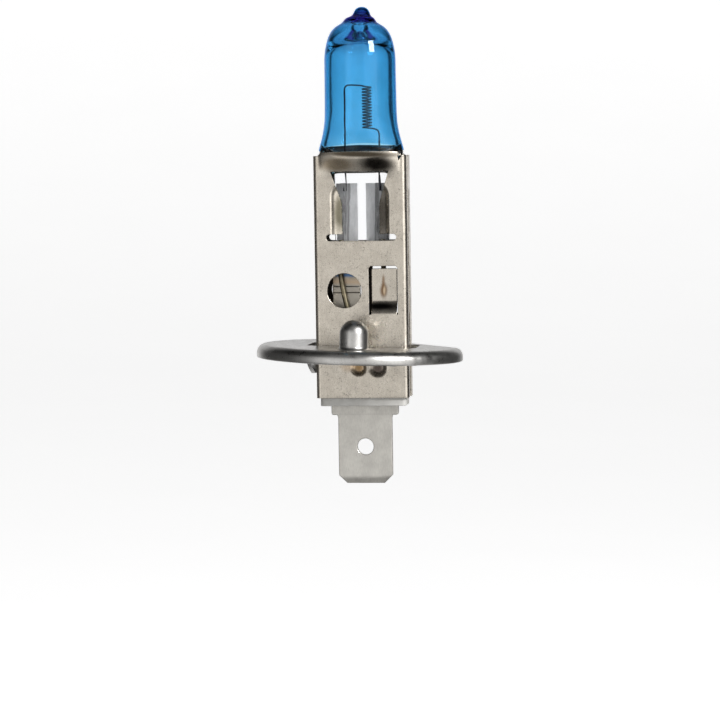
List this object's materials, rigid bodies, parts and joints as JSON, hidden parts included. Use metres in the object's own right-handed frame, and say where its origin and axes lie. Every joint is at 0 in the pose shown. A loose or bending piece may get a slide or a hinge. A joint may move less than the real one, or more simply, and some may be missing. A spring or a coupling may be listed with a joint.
{
  "type": "headlight bulb",
  "caption": "Halogen headlight bulb: blue-coated glass on a sheet-steel sleeve, with a keyed round flange, a ceramic insulator and a flat contact blade.",
  "frame": {"origin": "where the lamp's axis meets the flange's upper face, the plane that seats in the reflector", "axes": "+Z along the lamp's axis to the glass tip, +X across the wide side of the sleeve towards the flange's flat side, -Y the front, with the two weld dimples"},
  "size_m": [0.024, 0.024, 0.0552],
  "materials": {
    "clear_glass": "clear quartz, smooth",
    "blue_coating": "thin blue interference coating, darker towards the tip",
    "tungsten": "drawn tungsten wire, dull",
    "molybdenum": "bare molybdenum, dull",
    "nickel_steel": "nickel-plated sheet steel, satin",
    "white_ceramic": "white steatite ceramic, unglazed",
    "blade_metal": "plated contact metal, matte"
  },
  "bodies": {
    "root": {"glass_envelope": "clear_glass", "blue_filter_coating": "blue_coating", "filament": "tungsten", "foil_live": "molybdenum", "foil_ground": "molybdenum", "lead_live": "molybdenum", "lead_ground": "molybdenum", "sleeve": "nickel_steel", "flange": "nickel_steel", "insulator": "white_ceramic", "contact_blade": "blade_metal"}
  },
  "joints": []
}
